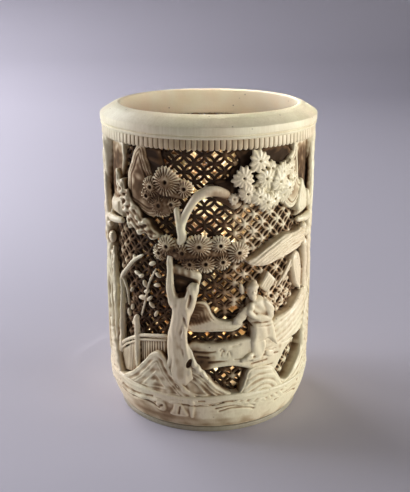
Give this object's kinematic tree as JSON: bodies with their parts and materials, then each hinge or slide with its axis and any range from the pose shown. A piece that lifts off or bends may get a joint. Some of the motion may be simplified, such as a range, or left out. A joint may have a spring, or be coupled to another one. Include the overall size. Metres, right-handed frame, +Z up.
{
  "type": "carved brush pot",
  "caption": "Upright round brush pot with a carved and pierced garden scene on its wall, a sloping lip ring and a plain foot.",
  "frame": {"origin": "centre of the foot ring's underside, on the surface that the pot stands on", "axes": "+Z up along the pot's axis, -Y towards the front of the carved scene, +X to the right as seen from the front"},
  "size_m": [0.082, 0.082, 0.121],
  "materials": {
    "pale_ivory": "pale cream ivory, satin polish, fine grain, small dark specks",
    "aged_ivory": "cream ivory worn smooth on the high points, warm brown in the recesses and on the inner wall",
    "grey_ivory": "dull grey-brown, matt, darkened where it stands on the table"
  },
  "bodies": {
    "root": {"lip_ring": "pale_ivory", "carved_wall": "aged_ivory", "floor_plate": "aged_ivory", "foot_ring": "grey_ivory"}
  },
  "joints": []
}
